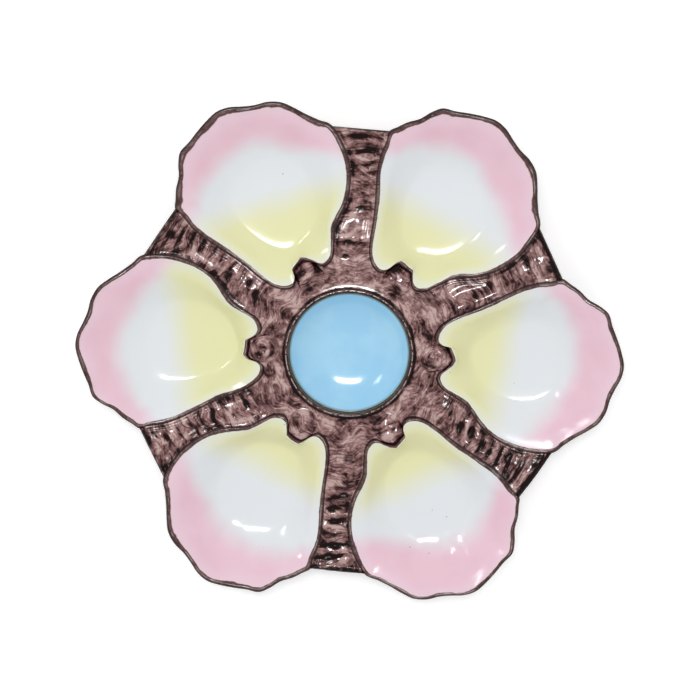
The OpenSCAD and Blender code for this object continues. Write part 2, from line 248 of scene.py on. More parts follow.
def relief(x, y):
    # what stands on the ground: a crown across the bark, cosine ridges over it and folds along it, bells of
    # Gauss for knots sunk in it, and an edge turned up beside the lips; also how dark the glaze pools
    # there. The small numbers inside waver and the cosines only shift one pattern against the next.
    r = np.hypot(x, y)
    a = np.degrees(np.arctan2(y, x))
    rib = np.floor(np.mod(a, 360) / plate["pitch"]).astype(int) % plate["shells"]
    ridge, fold, sink, groove, calmAt, calmW = (
        np.array(bark[key])[rib] for key in ("ridge", "fold", "sink", "groove", "calmAt", "calmW"))
    a = np.mod(a, plate["pitch"])
    low, high = np.interp(r, farR, farA), np.interp(r, nearR, nearA)
    t = (a - low) / (high - low)            # share of the way across the rib
    width = r * np.radians(high - low)
    side = np.minimum(t, 1 - t) * width     # mm from the nearer lip
    inside = np.clip(4 * t * (1 - t), 0, 1)
    out = grown(r, "from")

    bend = 0.5 * waver(r / 5, 3 * t + 5 * rib, 1) + 0.9 * (t - 0.5)
    strength = 0.55 + 0.45 * waver(r / 7, 2 * t + 3 * rib, 2)
    wave = np.cos(2 * np.pi * r / bark["ridgePitch"] + bark["ridgeBend"] * bend + 1.3 * rib)
    calm = 1 - 0.9 * np.exp(-((r - calmAt) / calmW)**4)
    ridges = strength * wave * calm
    across = (t - 0.5) * width + 0.8 * waver(r / 6, 0 * r + 3 * rib, 8)
    folds = np.cos(2 * np.pi * across / bark["foldMm"] + rib) * (0.6 + 0.4 * waver(r / 9, t + rib, 9))
    fine = np.cos(2 * np.pi * r / bark["fineMm"] + 3 * bend + 2 * waver(r / 3, 6 * t + rib, 3)) * calm
    knots, pits = 0 * r, 0 * r
    along, over = bark["knotShape"]
    for i, row in enumerate(bark["knots"]):
        for knotR, knotT, size, depth in row:
            near = ((r - knotR) / (along * size))**2 + ((t - knotT) * width / (over * size))**2
            one = np.where((rib == i) & (near < 12), depth * np.exp(-near), 0)
            knots = knots + one
            pits = pits + np.maximum(one, 0)
    fillet = bark["fillet"] * bell(side, 0, bark["filletW"]) * out
    borderAt = bark["borderMm"] + 0.35 * waver(r / 9, 2.0 * (t > 0.5) + rib, 12)
    border = bark["border"] * bell(side, borderAt, bark["borderW"]) * out
    level = inside**bark["crownPower"] * out

    z = (ridge * ridges + fold * folds + bark["fineRidge"] * fine) * np.sqrt(inside) * out
    z = bark["crown"] * level + z
    z = z + bark["roll"] * np.cos(2 * np.pi * r / bark["rollMm"] + 1.7 * rib) * level
    sinkTo, sinkToW = bark["sinkTo"]
    z = z - sink * grown(r, "sinkFrom") * ramp((sinkTo - r) / sinkToW) * level
    uneven = waver(x / bark["unevenMm"], y / bark["unevenMm"], 4)
    z = z + bark["uneven"] * uneven * grown(r, "unevenFrom") - knots + fillet + border

    lean = 0.65 + 0.35 * np.cos(np.pi * t + 1.5 * waver(r / 9, 0 * r + rib, 6))
    trough = ramp((-wave - 0.25) / 0.55) * lean * (0.35 + 0.65 * strength)
    trough = trough * (0.8 + 0.35 * waver(x / 3, y / 3, 21)) * (0.4 + 0.6 * calm)
    crest = ramp((wave - 0.2) / 0.6)
    pool = bark["grooveDark"] * groove * trough - bark["crestPale"] * crest + bark["fineDark"] * fine
    pool = pool * np.sqrt(inside) * out
    seam = bark["seamDark"] * (1 + waver(x / 4, y / 4, 13)) * (0.5 + 1.3 * ramp(3 * t - 1))
    seam = seam * bell(side, bark["seamMm"], bark["seamMm"]) * out
    pool = pool + bark["pitDark"] * pits + seam - bark["hubPale"] * (1 - out)
    return z, np.clip(pool, bark["palest"], bark["darkest"])


def ground(x, y):
    # height of hub and bark: the level of the ground and the relief on it
    return barkZ(np.hypot(x, y)) + relief(x, y)[0]


def groundNormals(x, y):
    # the upright with the ground's slope taken off, so that hub and bark meet without a line
    h = 0.05        # mm to each side
    n = np.stack([
        ground(x - h, y) - ground(x + h, y),
        ground(x, y - h) - ground(x, y + h),
        np.full_like(x, 2 * h),
    ], -1)
    return n / np.linalg.norm(n, axis=-1, keepdims=True)


def loopQuads(rows, n, closed=True):
    # faces of a grid of closed loops of n points: one from each step of loop j to loop j + 1
    j, k = np.meshgrid(np.arange(rows - 1 + (not closed)), np.arange(n), indexing="ij")
    a, b = j * n + k, j * n + (k + 1) % n
    c, d = (a + n) % (rows * n), (b + n) % (rows * n)
    return np.stack([a, b, d, c], -1).reshape(-1, 4)


def capTris(rows, n):
    # the first and the last of rows loops closed to a point each: number rows * n below, and the next above
    k = np.arange(n)
    last = (rows - 1) * n
    below = np.stack([np.full(n, rows * n), (k + 1) % n, k], -1)
    above = np.stack([np.full(n, rows * n + 1), last + k, last + (k + 1) % n], -1)
    return np.concatenate([below, above])


def ringStrokes(x, y, step=60.0):
    # brush strokes run round the plate: distance out, and a place on a circle, so there is no seam
    r = np.maximum(np.hypot(x, y), 1e-6)
    return np.stack([r, step * x / r, step * y / r], -1)


def makePiece(name, nodes, points, quads, tris, fields, strokes=None, hidden=None, normals=None):
    # points in mm; fields are numbers kept on the points; a point's normal is the sum of its faces' areas
    # as vectors, to which hidden faces give nothing, or the one that is handed in
    co = np.asarray(points, float)
    faces = [quads] + ([tris] if len(tris) else [])
    total = np.zeros_like(co)
    keep = np.ones(len(quads)) if hidden is None else 1.0 - hidden
    cross = np.cross(co[quads[:, 2]] - co[quads[:, 0]], co[quads[:, 3]] - co[quads[:, 1]]) * keep[:, None]
    for k in range(4):
        np.add.at(total, quads[:, k], cross)
    if len(tris):
        cross = np.cross(co[tris[:, 1]] - co[tris[:, 0]], co[tris[:, 2]] - co[tris[:, 0]])
        for k in range(3):
            np.add.at(total, tris[:, k], cross)
    if normals is not None:
        known = np.abs(normals).sum(1) > 0
        total[known] = normals[known]
    size = np.linalg.norm(total, axis=1, keepdims=True)
    total = np.where(size > 0, total / np.maximum(size, 1e-12), [0, 0, 1])
    mesh = bpy.data.meshes.new(name)
    mesh.from_pydata((co * mm).tolist(), [], [f for part in faces for f in part.tolist()])
    mesh.polygons.foreach_set("use_smooth", np.ones(len(mesh.polygons), bool))
    for key, values in fields.items():
        values = np.asarray(values, np.float32)
        mesh.attributes.new(key, "FLOAT", "POINT").data.foreach_set("value", values)
    if strokes is None:
        strokes = ringStrokes(co[:, 0], co[:, 1])
    vectors = np.ascontiguousarray(strokes, np.float32).ravel()
    mesh.attributes.new("strokes", "FLOAT_VECTOR", "POINT").data.foreach_set("vector", vectors)
    mesh.update()
    mesh.normals_split_custom_set_from_vertices(total.tolist())
    piece = bpy.data.objects.new(name, mesh)
    bpy.context.scene.collection.objects.link(piece)
    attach(piece, "root")
    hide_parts(*nodes)
    return piece


def loopsOf(*layers):
    # pairs of plan and height to loops of points, one layer after another
    return np.concatenate([np.concatenate([xy, z[..., None]], -1) for xy, z in layers])


# Barnacles. Front edge: share of the hub's width, share of the pitch; the rest is the shell's own edge.
barnacle = {
    "front": [(.92, .105), (.58, .087), (.33, .03), (.25, -.05), (.31, -.133), (.56, -.2), (.94, -.223)],
    "first": 4,             # it sits on the shell's inner end, from this point
    "last": 9,              # to this one
    "chips": [(.3, -.5, .6, -.1), (-.2, .7, -.4, .4), (.5, -.3, .5, -.4),       # mm by which each corner
              (.1, .5, -.6, .5), (-.4, .5, .1, .4), (.4, -.4, .7, -.2)],        # stands out, lump by lump
    "height": 3.2,
    "topShare": 0.8,        # of the height, in the middle
    "uneven": 0.18,
    "unevenMm": 2.2,
    "steep": (2.6, 0.6),    # powers of the dome towards the shell
    "slow": (2.0, 1.5),     # and towards the hub
    "fade": 0.2,            # share from the edge in which coil and folds start
    "dimple": 0.5,          # of the coil, in its middle
    "dimpleR": 1.2,
    "markDark": 1.2,
    "unevenDark": 0.25,
    "edgeDark": 0.28,
    "underDark": 0.2,
    "middleDark": 0.3,
    "coilFrom": 0.1,        # the brush followed any stronger coil
    "coilStroke": (1.1, 0.6, 7),
    "strokeShift": 40,      # no two lumps are brushed alike
    "rings": 40,
    "looks": [
        {"coil": 0.24, "turn": 3.4, "folds": 0.05, "count": 3, "phase": 0.4},
        {"coil": 0.02, "turn": 3.6, "folds": 0.22, "count": 2, "phase": 1.2},
        {"coil": 0.03, "turn": 3.9, "folds": 0.24, "count": 3, "phase": 2.0},
        {"coil": 0.16, "turn": 3.8, "folds": 0.16, "count": 2, "phase": 3.1},
        {"coil": 0.02, "turn": 3.6, "folds": 0.20, "count": 2, "phase": 4.0},
        {"coil": 0.08, "turn": 3.3, "folds": 0.20, "count": 3, "phase": 5.2},
    ],
}
hubW = plate["shellInR"] - plate["beadOutR"]
barnacleFrom = innerAt + barnacle["first"] * steps
barnacleTo = innerAt + barnacle["last"] * steps
frontAngles = np.radians([plate["pitch"] * s[1] for s in barnacle["front"]])
frontRs = np.array([plate["beadOutR"] + s[0] * hubW for s in barnacle["front"]])
frontPoints = np.stack([frontRs * np.cos(frontAngles), frontRs * np.sin(frontAngles)], -1)
frontEnds = outline[[barnacleFrom, barnacleTo], :2]
frontLine = smoothLine(np.vstack([frontEnds[:1], frontPoints, frontEnds[1:]]), steps)


# Shells. Each has its own slips of the hand: how far yellow reaches, where pink starts, how uneven it is.
shell = {
    "floorH": 8.0,
    "wallStart": 0.52,      # share of the way out at which the well's wall starts
    "wallEnd": 0.96,
    "wallRise": 0.30,       # share of the depth that it takes
    "flarePower": 3.7,
    "underStart": 0.46,
    "underEnd": 0.98,
    "underRise": 0.60,
    "underFlarePower": 3.0,
    "holdPower": 7,         # how late the outline's waves show on the way out
    "underHoldPower": 6,
    "shiftPower": 1.5,
    "roll": 0.35,           # the well rolls over a little before the lip
    "rollAt": 5.0,
    "rollW": 2.0,
    "rollFrom": 2.0,
    "lipW": 2.2,            # the edge rounds over in this width
    "lipPower": 2.2,
    "lipOver": 0.75,        # where the well's slope would end over the lip
    "edgeDrop": 1.8,        # from the crest to the widest point of the rim
    "edgeRound": 1.7,
    "edgeRoundW": 3.0,
    "rimShy": 1e-4,         # keeps the rim a hair inside the construction's
    "rimEase": (4, 10),     # points before the rim where it starts to leave the bark, and how many it takes
    "calmReach": 5,         # steps over which the outline is averaged for the floor of the well
    "flutes": 11,
    "flute": 0.22,
    "fluteMm": 9,
    "uneven": 0.12,
    "unevenMm": 8,
    "unevenFrom": 4,        # mm in from the edge
    "bowlRings": 52,
    "lipRings": 14,
    "ringPower": 1.3,       # the lip's rings crowd towards the edge
    "edgeRings": 8,
    "underRings": 22,
    # yellow: how far out on the axis and how slanted; lip: width of its brown; shift: mm by which the floor
    # lies nearer to the hub; dents: place, radius and depth in mm
    "slips": [
        {"yellow": (66.9, .20), "pink": 0.0, "lip": 0.95, "shift": 9, "seed": 1,
         "dents": [(99, -15, 3.2, .62), (86.5, -29.5, 3.0, .55)]},
        {"yellow": (66.0, .00), "pink": -0.02, "lip": 1.15, "shift": 12, "seed": 2,
         "dents": [(98, -14, 3.4, .45)]},
        {"yellow": (71.0, .22), "pink": 0.0, "lip": 1.2, "shift": 12, "seed": 3,
         "dents": [(96, 12, 3.6, .40)]},
        {"yellow": (72.5, -.13), "pink": 0.02, "lip": 0.95, "shift": 16, "seed": 4,
         "dents": [(101, 4, 3.4, .40)]},
        {"yellow": (62.5, -.04), "pink": 0.0, "lip": 1.1, "shift": 11, "seed": 5,
         "dents": [(99, -8, 3.2, .55)]},
        {"yellow": (65.0, .14), "pink": -0.03, "lip": 0.85, "shift": 11, "seed": 6,
         "dents": [(99, -6.4, 2.8, .50), (103, 0, 2.6, .42), (91, -23, 3.5, .45)]},
    ],
    # pink starts at this share of the way out: degrees off the shell's axis, share
    "pinkFrom": [(-40, .52), (-26, .60), (-4, .77), (4, .77), (10, .74), (14, .70), (16, .66), (24, .6)],
    "colourWave": 0.9,      # mm by which the colours' edges waver
    "colourWaveMm": 7,
    "lipCorner": 0.1,       # the brown is this much wider where the rim leaves the bark
    "lipWave": 0.12,
    "lipWaveMm": 4,
}


def shareCurve(s, start, end, rise, power):
    # rise of the well: a steep wall between start and end, and a flare that grows all the way out
    return rise * ramp((s - start) / (end - start)) + (1 - rise) * s**power


def outlineOf(i):
    # the same outline, with straight chips and corners where a barnacle sits on it
    line = outline.copy()
    first, last = (len(outlineShares["farSide"]) + barnacle[key] for key in ("first", "last"))
    corners = polar(allShares)[first:last + 1, :2]
    away = corners - corners.mean(0)
    away = away / np.linalg.norm(away, axis=1, keepdims=True)
    corners[1:-1] += away[1:-1] * np.array(barnacle["chips"][i])[:, None]
    at = np.arange((last - first) * steps + 1) / steps
    chipped = np.stack([np.interp(at, np.arange(len(corners)), corners[:, k]) for k in (0, 1)], -1)
    chipped[1:-1] = (chipped[:-2] + 2 * chipped[1:-1] + chipped[2:]) / 4
    line[first * steps:last * steps + 1, :2] = chipped
    line[rimAt + steps:-steps, :2] *= 1 - shell["rimShy"]
    return line


def buildShell(i):
    # closed loops about the floor: each is the outline drawn in by its share, rounder the further in it
    # lies, and moved towards the hub by (1 - share squared) to the power 1.5; heights are floor + depth *
    # shareCurve, less a fall over the lip that grows as the 2.2nd power, plus flutes, a soft roll before
    # the lip and dents like bells
    slip = shell["slips"][i]
    own = outlineOf(i)
    n = len(own)
    flat = own[:, :2] - middle[:2]
    reach = shell["calmReach"] * steps
    calm = sum(np.roll(flat, k, 0) for k in range(-reach, reach + 1)) / (2 * reach + 1)
    length = np.linalg.norm(flat, axis=1)
    radius = np.hypot(own[:, 0], own[:, 1])
    rise = own[:, 2] * (plate["height"] - plate["barkEndH"] - plate["lipRise"])
    lipZ = barkZ(radius) + plate["lipRise"] + rise
    lineZ = lipZ + shell["lipOver"]
    index = np.arange(n)
    before, over = shell["rimEase"]
    onRim = ramp((index - rimAt + before) / over) * ramp((n - index + before) / over)
    onRim[:before] = onRim[-1]
    placed = turned(own, i * plate["pitch"])
    outZ = ground(placed[:, 0], placed[:, 1]) * (1 - onRim) + (lipZ - shell["edgeDrop"]) * onRim

    lipShare = 1 - shell["lipW"] / length
    crowded = np.linspace(0, 1, shell["lipRings"]) ** shell["ringPower"]
    shares = np.concatenate([
        1 - (1 - lipShare)[None] * crowded[:, None],
        lipShare[None] * np.linspace(1, 0, shell["bowlRings"])[1:-1, None],
    ])
    inset = (1 - shares) * length           # mm in from the edge
    fromLip = np.minimum(1, shares / lipShare[None])
    shift = np.array([-slip["shift"], 0])
    hold = fromLip[..., None] ** shell["holdPower"]
    xy = middle[:2] + shares[..., None] * (calm + (flat - calm) * hold)
    xy = xy + shift * (1 - fromLip[..., None] ** 2) ** shell["shiftPower"]
    x, y = xy[..., 0], xy[..., 1]
    curve = shareCurve(shares, shell["wallStart"], shell["wallEnd"], shell["wallRise"], shell["flarePower"])
    fall = np.clip(1 - inset / shell["lipW"], 0, 1) ** shell["lipPower"]
    z = shell["floorH"] + (lineZ - shell["floorH"]) * curve - (lineZ - outZ) * fall
    about = np.arctan2(y - middle[1], x - middle[0])
    patchy = 0.6 + 0.4 * waver(x / shell["fluteMm"], y / shell["fluteMm"], slip["seed"])
    flutes = np.cos(shell["flutes"] * about + slip["seed"]) * patchy
    z = z + shell["flute"] * flutes * ramp((shares - 0.45) / 0.3) * ramp((1 - shares) / 0.12) * own[:, 2]
    uneven = waver(x / shell["unevenMm"], y / shell["unevenMm"], slip["seed"] + 7)
    z = z + shell["uneven"] * uneven * ramp(inset / shell["unevenFrom"])
    z = z + shell["roll"] * bell(inset, shell["rollAt"], shell["rollW"]) * ramp(inset / shell["rollFrom"])
    for dentX, dentY, size, depth in slip["dents"]:
        z = z - depth * np.exp(-((x - dentX)**2 + (y - dentY)**2) / size**2)

    # underside and rolled edge, run from the middle outwards and then up
    under = np.linspace(0, 1, shell["underRings"] + 1)[1:, None] * np.ones(n)
    holdUnder = under[..., None] ** shell["underHoldPower"]
    xyUnder = middle[:2] + under[..., None] * (calm + (flat - calm) * holdUnder)
    xyUnder = xyUnder + shift * (1 - under[..., None] ** 2) ** shell["shiftPower"]
    rUnder = np.hypot(xyUnder[..., 0], xyUnder[..., 1])
    edgeUnder = barkZ(radius) - plate["wall"] + rise
    curveUnder = shareCurve(under, shell["underStart"], shell["underEnd"], shell["underRise"],
                            shell["underFlarePower"])
    zUnder = plate["footH"] + (edgeUnder - plate["footH"]) * curveUnder * clearOfFoot(rUnder)
    turnIn = np.clip(1 - (1 - under) * length / shell["edgeRoundW"], 0, 1) ** 2
    turnIn = shell["edgeRound"] * onRim * turnIn
    outwards = flat / length[:, None]
    xyUnder = xyUnder - outwards * turnIn[..., None]
    angle = np.linspace(0, np.pi / 2, shell["edgeRings"] + 2)[1:-1, None]
    edgeIn = turnIn[-1] * (1 - np.sin(angle))
    edgeZ = zUnder[-1] + (outZ - zUnder[-1]) * (1 - np.cos(angle)) ** (0.7 + 0.3 * (1 - onRim))
    xyEdge = own[:, :2] - outwards * edgeIn[..., None]

    loops = loopsOf((xyUnder, zUnder), (xyEdge, edgeZ), (xy, z))
    rows = len(loops)
    floorAt = middle[:2] + shift
    points = np.vstack([loops.reshape(-1, 3), [[*floorAt, plate["footH"]]], [[*floorAt, z[-1].mean()]]])
    quads = loopQuads(rows, n)
    row = quads[:, 0] // n
    hidden = (row >= len(zUnder) - 1) & (row < len(zUnder) + len(edgeZ))
    hidden = hidden * (1 - onRim[quads[:, 0] % n])

    # numbers for the glaze: mm in from the edge, how pink and how yellow a place is
    x, y = points[:, 0], points[:, 1]
    span = plate["tipR"] - plate["shellInR"]
    share = (np.hypot(x, y) - plate["shellInR"]) / span
    angles, froms = np.array(shell["pinkFrom"]).T
    pinkFrom = np.interp(np.degrees(np.arctan2(y, x)), angles, froms) + slip["pink"]
    drift = waver(x / shell["colourWaveMm"], y / shell["colourWaveMm"], slip["seed"]) * shell["colourWave"]
    yellowAt, slant = slip["yellow"]
    # the brown of the lip is wider where a shell's rim leaves the bark, and uneven as a brush leaves it
    corner = sum(bell(index, at, 9) for at in (rimAt + 8, n + 2, -2))
    brushed = (1 - onRim + slip["lip"] * onRim) * (1 + shell["lipCorner"] * corner)
    stroke = waver(own[:, 0] / shell["lipWaveMm"], own[:, 1] / shell["lipWaveMm"], slip["seed"] + 3)
    painted = inset / (brushed * (1 + shell["lipWave"] * stroke))
    fields = {
        # the underside counts as -3, the rolled edge as -1
        "inset": np.concatenate([0 * zUnder.ravel() - 3, 0 * edgeZ.ravel() - 1, painted.ravel(), [-3, 40]]),
        "pinkMm": (share - pinkFrom) * span + drift,
        "yellowMm": yellowAt - (x - slant * y) + drift,
        "pool": 0 * x,
    }
    points = turned(points, i * plate["pitch"])
    name = f"shell_{i + 1}"
    return makePiece(f"{name}_glazed", [name], points, quads, capTris(rows, n), fields,
                     hidden=hidden)


shells = [buildShell(i) for i in range(plate["shells"])]
print("shells built")


def buildBark(i):
    # rows run from the plate's edge to the hub, columns straight across from one shell to the next; heights
    # are the ground's, with a bell-shaped lip along the end and a fall outside it that grows as the square
    def split(line):
        # more points on the same straight steps, so that bark and shells share their edge
        at = np.arange((len(line) - 1) * bark["rowSplit"] + 1) / bark["rowSplit"]
        return np.stack([np.interp(at, np.arange(len(line)), line[:, k]) for k in (0, 1)], -1)

    low, high = (turned(split(line), i * plate["pitch"]) for line in (farLine, nearLine))
    rows = len(low)
    t = np.linspace(0, 1, bark["columns"] + 1)
    xy = low[:, None] + (high - low)[:, None] * t[None, :, None]
    x, y = xy[..., 0], xy[..., 1]
    toEnd = np.linalg.norm(xy[1:] - xy[:-1], axis=-1).cumsum(0)
    toEnd = np.concatenate([np.zeros((1, len(t))), toEnd])
    z = ground(x, y) + bark["endLip"] * bell(toEnd, bark["endLipMm"], bark["endLipW"])
    z = z - bark["endRound"] * np.clip(1 - toEnd / bark["endRoundMm"], 0, 1)**2
    # a painted highlight: a pale broken line along the end lip's crest
    glint = bark["endGlint"][i] * (0.5 + 0.5 * waver(x / 3, y / 3, 11))
    shadeWidth = 1.6 + 0.5 * waver(x / 4, y / 4, 14)
    pool = relief(x, y)[1]
    # painted shade along the end, in a band of wavering width
    pool = np.maximum(pool, bark["endShade"][i] * bell(toEnd, bark["endShadeMm"], shadeWidth))
    pool = pool - bark["glintPale"] * glint * bell(toEnd, bark["endLipMm"], bark["glintW"])
    pool = np.maximum(pool, np.clip(1.2 - toEnd / 0.5, 0, 1))       # painted shade: the very edge is darkest

    under = bark["underColumns"]
    underT = np.linspace(1, 0, under)
    xyUnder = low[:, None] + (high - low)[:, None] * underT[None, :, None]
    atEnd = np.clip(1 - toEnd[:, :1] / bark["underRiseMm"], 0, 1)**2
    zUnder = underZ(np.hypot(xyUnder[..., 0], xyUnder[..., 1])) + bark["underRise"] * atEnd
    loops = np.concatenate([loopsOf((xyUnder, zUnder)), loopsOf((xy, z))], 1)
    n = loops.shape[1]
    points = loops.reshape(-1, 3)
    quads = loopQuads(rows, n)
    column = quads[:, 0] % n
    hidden = ((column == under - 1) | (column == n - 1)).astype(float)

    # ends: a strip of triangles between the few points of the underside and the many of the top
    def endFaces(j, flip):
        topAt = j * n + under + np.arange(len(t))[::-1]
        downAt = j * n + np.round(np.linspace(0, under - 1, len(t))).astype(int)
        a, b, c, d = downAt[:-1], downAt[1:], topAt[:-1], topAt[1:]
        faces = np.concatenate([np.stack([a, c, d], -1), np.stack([a, d, b], -1)[a != b]])
        return faces[:, ::-1] if flip else faces

    tris = np.concatenate([endFaces(0, False), endFaces(rows - 1, True)])
    normals = np.zeros((rows, n, 3))
    normals[-1, under:] = groundNormals(x[-1], y[-1])       # the same on both sides of the line to the hub
    pools = np.concatenate([np.full(xyUnder.shape[:2], bark["underDark"]), pool], 1).ravel()
    name = f"bark_{i + 1}"
    return makePiece(f"{name}_glazed", [name], points, quads, tris, {"pool": pools},
                     hidden=hidden, normals=normals.reshape(-1, 3))


barks = [buildBark(i) for i in range(plate["shells"])]
print("bark built")


def buildBarnacle(i):
    # a dome over its patch of the plan, 1 less a power of the share of the way out; on it a coil, the
    # cosine of distance less angle, or folds, the cosine of a few times the angle
    look = barnacle["looks"][i]
    edge = np.vstack([outlineOf(i)[barnacleFrom:barnacleTo, :2], frontLine[:0:-1]])
    edge = turned(edge, i * plate["pitch"])
    n = len(edge)
    centre = edge.mean(0)
    share = np.linspace(1, 0, barnacle["rings"] + 1)[:-1, None] * np.ones(n)
    xy = centre + share[..., None] * (edge - centre)
    x, y = xy[..., 0], xy[..., 1]
    dx, dy = x - centre[0], y - centre[1]
    d, about = np.hypot(dx, dy), np.arctan2(dy, dx)
    # steep towards the shell, slow towards the hub
    axis = np.radians(i * plate["pitch"])
    inward = -(dx * np.cos(axis) + dy * np.sin(axis)) / np.maximum(d, 1e-6)
    soft = ramp((inward + 0.3) / 1.1)
    inner, outer = (a + (b - a) * soft for a, b in zip(barnacle["steep"], barnacle["slow"]))
    dome = np.clip(1 - share**inner, 0, 1)**outer
    uneven = waver(x / barnacle["unevenMm"], y / barnacle["unevenMm"], i + 1)
    coil = np.cos(2 * np.pi * d / look["turn"] - about + look["phase"] + 0.5 * uneven)
    folds = np.cos(look["count"] * about + look["phase"] + 1.5 * uneven) * ramp(d / 2.5)
    fade = ramp((1 - share) / barnacle["fade"])
    marks = (look["coil"] * coil + look["folds"] * folds) * fade
    top = plate["hubH"] + barnacle["height"] * (barnacle["topShare"] + barnacle["uneven"] * uneven)
    z = ground(x, y) * (1 - dome) + top * dome
    z = z + marks - barnacle["dimple"] * look["coil"] * bell(d, 0, barnacle["dimpleR"])
    pool = np.clip(-barnacle["markDark"] * marks - barnacle["unevenDark"] * uneven, -0.3, 0.65)
    pool = pool + barnacle["edgeDark"] * (1 - soft) * bell(1 - share, 0, 0.10)
    pool = pool + relief(x, y)[1] * (1 - fade)

    loops = loopsOf((edge[None], underZ(np.hypot(edge[:, 0], edge[:, 1]))[None]), (xy, z))
    rows = len(loops)
    ends = [plate["hubH"] - plate["wall"], plate["hubH"] + barnacle["height"] * barnacle["topShare"]]
    points = np.vstack([loops.reshape(-1, 3), [[*centre, h] for h in ends]])
    quads = loopQuads(rows, n)
    hidden = (quads[:, 0] // n == 0).astype(float)
    underDark = barnacle["underDark"]
    pools = np.concatenate([np.full(n, underDark), pool.ravel(), [underDark, barnacle["middleDark"]]])
    dx, dy = points[:, 0] - centre[0], points[:, 1] - centre[1]
    d = np.maximum(np.hypot(dx, dy), 1e-6)
    shift = barnacle["strokeShift"] * i
    lean = look["phase"]
    along = dx * np.cos(lean) + dy * np.sin(lean)
    across = dy * np.cos(lean) - dx * np.sin(lean)
    strokes = np.stack([along, across, shift + 0 * d], -1)
    if look["coil"] > barnacle["coilFrom"]:
        outBy, roundBy, circle = barnacle["coilStroke"]
        outwards = outBy * d + roundBy * np.arctan2(dy, dx) + shift
        strokes = np.stack([outwards, circle * dx / d, circle * dy / d], -1)
    name = f"barnacle_{i + 1}"
    return makePiece(f"{name}_glazed", [name], points, quads, capTris(rows, n),
                     {"pool": np.clip(pools, 0, 1)}, strokes, hidden)


barnacles = [buildBarnacle(i) for i in range(plate["shells"])]
print("barnacles built")

hub = {
    "rings": 30,
    "underRings": 5,
    "fillet": 0.3,          # the hub rises a little to the bead
    "filletW": 1.3,
    "beadDark": 0.8,        # glaze gathers there
    "beadDarkMm": 0.7,
    "underDark": 0.15,
}


def buildHub():
    # rings blend evenly from the bead's circle to the edge of shells, barnacles and bark, on top and
    # underneath; heights are the ground's, with a bell-shaped rise to the bead
    t = np.linspace(0, 1, bark["columns"] + 1)[1:-1, None]
    barkEnd = farLine[-1:, :2] + t * (nearLine[-1:, :2] - farLine[-1:, :2])
    sector = np.vstack([
        outline[nearAt:barnacleTo:-1, :2],
        frontLine[:0:-1],
        outline[barnacleFrom:innerAt - 1:-1, :2],
        barkEnd,
    ])
    edge = np.vstack([turned(sector, i * plate["pitch"]) for i in range(plate["shells"])])
    n = len(edge)
    firstAngle = np.arctan2(edge[0, 1], edge[0, 0])
    about = firstAngle + 2 * np.pi * np.arange(n) / n
    hole = plate["beadOutR"] / np.cos(np.pi / n) * np.stack([np.cos(about), np.sin(about)], -1)
    share = np.linspace(1, 0, hub["rings"] + 1)[:, None, None]
    xy = hole + share * (edge - hole)
    x, y = xy[..., 0], xy[..., 1]
    toBead = np.hypot(x, y) - plate["beadOutR"]
    z = ground(x, y) + hub["fillet"] * bell(toBead, 0, hub["filletW"])
    pool = relief(x, y)[1] + hub["beadDark"] * bell(toBead, 0, hub["beadDarkMm"])
    shareUnder = np.linspace(0, 1, hub["underRings"])[:, None, None]
    xyUnder = hole + shareUnder * (edge - hole)
    zUnder = underZ(np.hypot(xyUnder[..., 0], xyUnder[..., 1]))
    loops = loopsOf((xyUnder, zUnder), (xy, z))
    rows = len(loops)
    quads = loopQuads(rows, n, closed=False)
    row = quads[:, 0] // n
    hidden = ((row == hub["underRings"] - 1) | (row == rows - 1)).astype(float)
    normals = np.zeros((rows, n, 3))
    normals[hub["underRings"]] = groundNormals(x[0], y[0])
    points = loops.reshape(-1, 3)
    pools = np.concatenate([np.full(xyUnder.shape[:2], hub["underDark"]), pool]).ravel()
    return makePiece("hub_glazed", ["hub"], points, quads, [], {"pool": np.clip(pools, 0, 1)},
                     hidden=hidden, normals=normals.reshape(-1, 3))


hubPiece = buildHub()
print("hub built")


def buildRevolve(name, part, profile, turns, fields):
    # a closed half section carried round the plate's axis: x = r cos a, y = r sin a; its two ends on the
    # axis, if it has any, become poles
    section = np.array(profile, float)
    about = 2 * np.pi * np.arange(turns) / turns
    onAxis = section[:, 0] < 1e-6
    body = section[~onAxis]
    r = body[:, 0, None]
    loops = np.stack([r * np.cos(about), r * np.sin(about), body[:, 1, None] + 0 * about], -1)
    rows = len(loops)
    points = loops.reshape(-1, 3)
    tris = np.zeros((0, 3), int)
    if onAxis.any():
        poles = section[onAxis][:, 1]
        points = np.vstack([points, [[0, 0, poles[0]], [0, 0, poles[1]]]])
        tris = capTris(rows, turns)
    quads = loopQuads(rows, turns, closed=bool(onAxis.any()))
    known = {key: np.concatenate([np.repeat(v[~onAxis], turns), v[onAxis]]) for key, v in fields.items()}
    return makePiece(name, [part], points, quads, tris, known)


sauceWell = {
    "floorH": 7.2,
    "edgeH": 16.1,
    "power": 3.6,
    "underFloorH": 3.2,
    "underEdgeH": 13.0,
    "underPower": 3.4,
    "underMark": 60.0,      # the glaze knows the underside by this radius
    "rings": 60,
    "turns": 240,
}


def sauceProfile():
    # from the axis out along the underside and back in over the top: low + rise * (r / R) ** power
    s = np.linspace(0, 1, sauceWell["rings"] + 1)
    radius = plate["beadInR"] * s
    w = sauceWell
    low = w["underFloorH"] + (w["underEdgeH"] - w["underFloorH"]) * s ** w["underPower"]
    high = w["floorH"] + (w["edgeH"] - w["floorH"]) * s ** w["power"]
    return np.vstack([np.stack([radius, low], -1), np.stack([radius, high], -1)[::-1]])


section = sauceProfile()
isTop = np.arange(len(section)) > sauceWell["rings"]
sauceR = np.where(isTop, section[:, 0], sauceWell["underMark"])
saucePiece = buildRevolve("sauce_well_glazed", "sauce_well", section, sauceWell["turns"],
                          {"sauceR": sauceR, "pool": 0 * sauceR})


bead = {"foot": 13.0, "crest": 18.2, "round": 10, "turns": 240}


